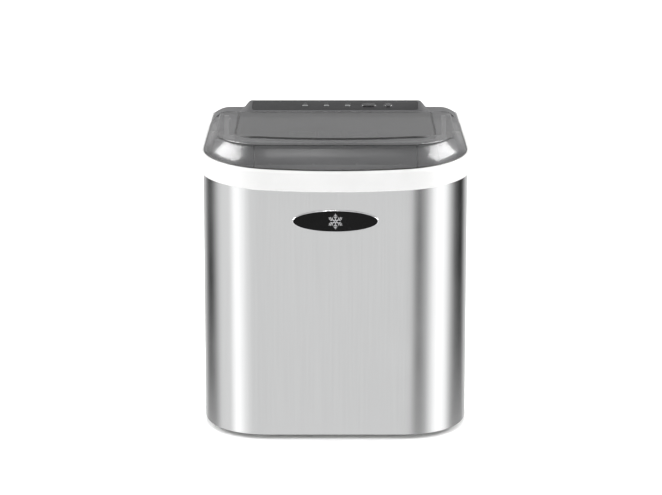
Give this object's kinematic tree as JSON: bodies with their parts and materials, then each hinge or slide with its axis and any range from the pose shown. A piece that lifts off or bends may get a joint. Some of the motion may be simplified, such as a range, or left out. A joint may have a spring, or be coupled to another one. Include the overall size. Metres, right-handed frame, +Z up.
{
  "type": "ice maker",
  "caption": "Countertop ice maker with a stainless steel cabinet, smoky hinged lid with a window, lift-out basket and scoop, tilting water tray and cooling plant.",
  "frame": {"origin": "middle of the footprint, on the worktop that the feet stand on", "axes": "+X to the right seen from the front, +Y towards the rear, +Z up; the front faces -Y"},
  "size_m": [0.29, 0.364, 0.3218],
  "materials": {
    "stainless_steel": "vertically brushed, satin",
    "white_plastic": "satin gloss",
    "smoky_plastic": "smoky clear, gloss",
    "charcoal_plastic": "fine texture",
    "black_plastic": "gloss",
    "black_enamel": "semi gloss enamel",
    "rubber": "matt",
    "bright_steel": "bright",
    "copper": "drawn copper tube",
    "aluminium": "mill finish",
    "circuit_board": "solder mask",
    "foam": "moulded foam",
    "clear_plastic": "clear, gloss",
    "lens": "frosted lens"
  },
  "bodies": {
    "cabinet": {"steel_wrap": "stainless_steel", "base_pan": "white_plastic", "top_collar": "white_plastic", "inner_tub": "white_plastic", "evaporator_cover": "white_plastic", "tray_bearing": "white_plastic", "hinge_bracket_left": "white_plastic", "hinge_bracket_right": "white_plastic", "drain_spout": "white_plastic", "side_grille_left": "charcoal_plastic", "side_grille_right": "charcoal_plastic", "rear_panel": "charcoal_plastic", "rear_cover": "charcoal_plastic", "control_panel": "charcoal_plastic", "tray_motor": "charcoal_plastic", "badge_plate": "black_plastic", "ice_sensor_left": "black_plastic", "ice_sensor_right": "black_plastic", "water_pump": "black_plastic", "fan_shroud": "black_plastic", "cord_gland": "black_plastic", "compressor": "black_enamel", "foot_front_left": "rubber", "foot_front_right": "rubber", "foot_rear_left": "rubber", "foot_rear_right": "rubber", "rear_screw_low_left": "bright_steel", "rear_screw_low_right": "bright_steel", "rear_screw_high_left": "bright_steel", "rear_screw_high_right": "bright_steel", "evaporator": "bright_steel", "hinge_pin_left": "bright_steel", "hinge_pin_right": "bright_steel", "gas_valve": "bright_steel", "filter_drier": "copper", "discharge_pipe": "copper", "suction_pipe": "copper", "liquid_pipe": "copper", "feed_pipe": "copper", "condenser": "aluminium", "fan_motor": "aluminium", "display_board": "circuit_board", "main_board": "circuit_board", "tub_insulation": "foam", "water_hose": "clear_plastic", "drain_hose": "clear_plastic", "indicator_add_water": "lens", "indicator_ice_full": "lens", "indicator_ice_size": "lens"},
    "lid": {"lid_shell": "smoky_plastic", "lid_window": "smoky_plastic"},
    "water_tray": {"water_tray": "clear_plastic", "ice_shovel": "white_plastic"},
    "fan": {"fan_blades": "white_plastic"},
    "ice_basket": {"ice_basket": "clear_plastic"},
    "ice_scoop": {"ice_scoop": "clear_plastic"},
    "select_button": {"select_button": "black_plastic"},
    "power_button": {"power_button": "black_plastic"},
    "drain_cap": {"drain_cap": "charcoal_plastic"}
  },
  "joints": [
    {"name": "lid_hinge", "type": "hinge", "parent": "cabinet", "child": "lid", "pos_m": [0, 0.025, 0.308], "axis": [-1, 0, 0], "range_deg": [0, 95]},
    {"name": "tray_tilt", "type": "hinge", "parent": "cabinet", "child": "water_tray", "pos_m": [0, -0.014, 0.222], "axis": [1, 0, 0], "range_deg": [0, 90]},
    {"name": "fan_spin", "type": "hinge", "parent": "cabinet", "child": "fan", "pos_m": [-0.098, 0.112, 0.112], "axis": [1, 0, 0], "continuous": true},
    {"name": "basket_lift", "type": "slide", "parent": "cabinet", "child": "ice_basket", "axis": [0, 0, 1], "range_m": [0, 0.085]},
    {"name": "scoop_lift", "type": "slide", "parent": "ice_basket", "child": "ice_scoop", "axis": [0, 0, 1], "range_m": [0, 0.06]},
    {"name": "select_press", "type": "slide", "parent": "cabinet", "child": "select_button", "axis": [0, 0.246, -0.9693], "range_m": [0, 0.0012], "stiffness_N_per_m": 300},
    {"name": "power_press", "type": "slide", "parent": "cabinet", "child": "power_button", "axis": [0, 0.246, -0.9693], "range_m": [0, 0.0012], "stiffness_N_per_m": 300},
    {"name": "drain_cap_pull", "type": "slide", "parent": "cabinet", "child": "drain_cap", "axis": [0, 1, 0], "range_m": [0, 0.016]}
  ]
}
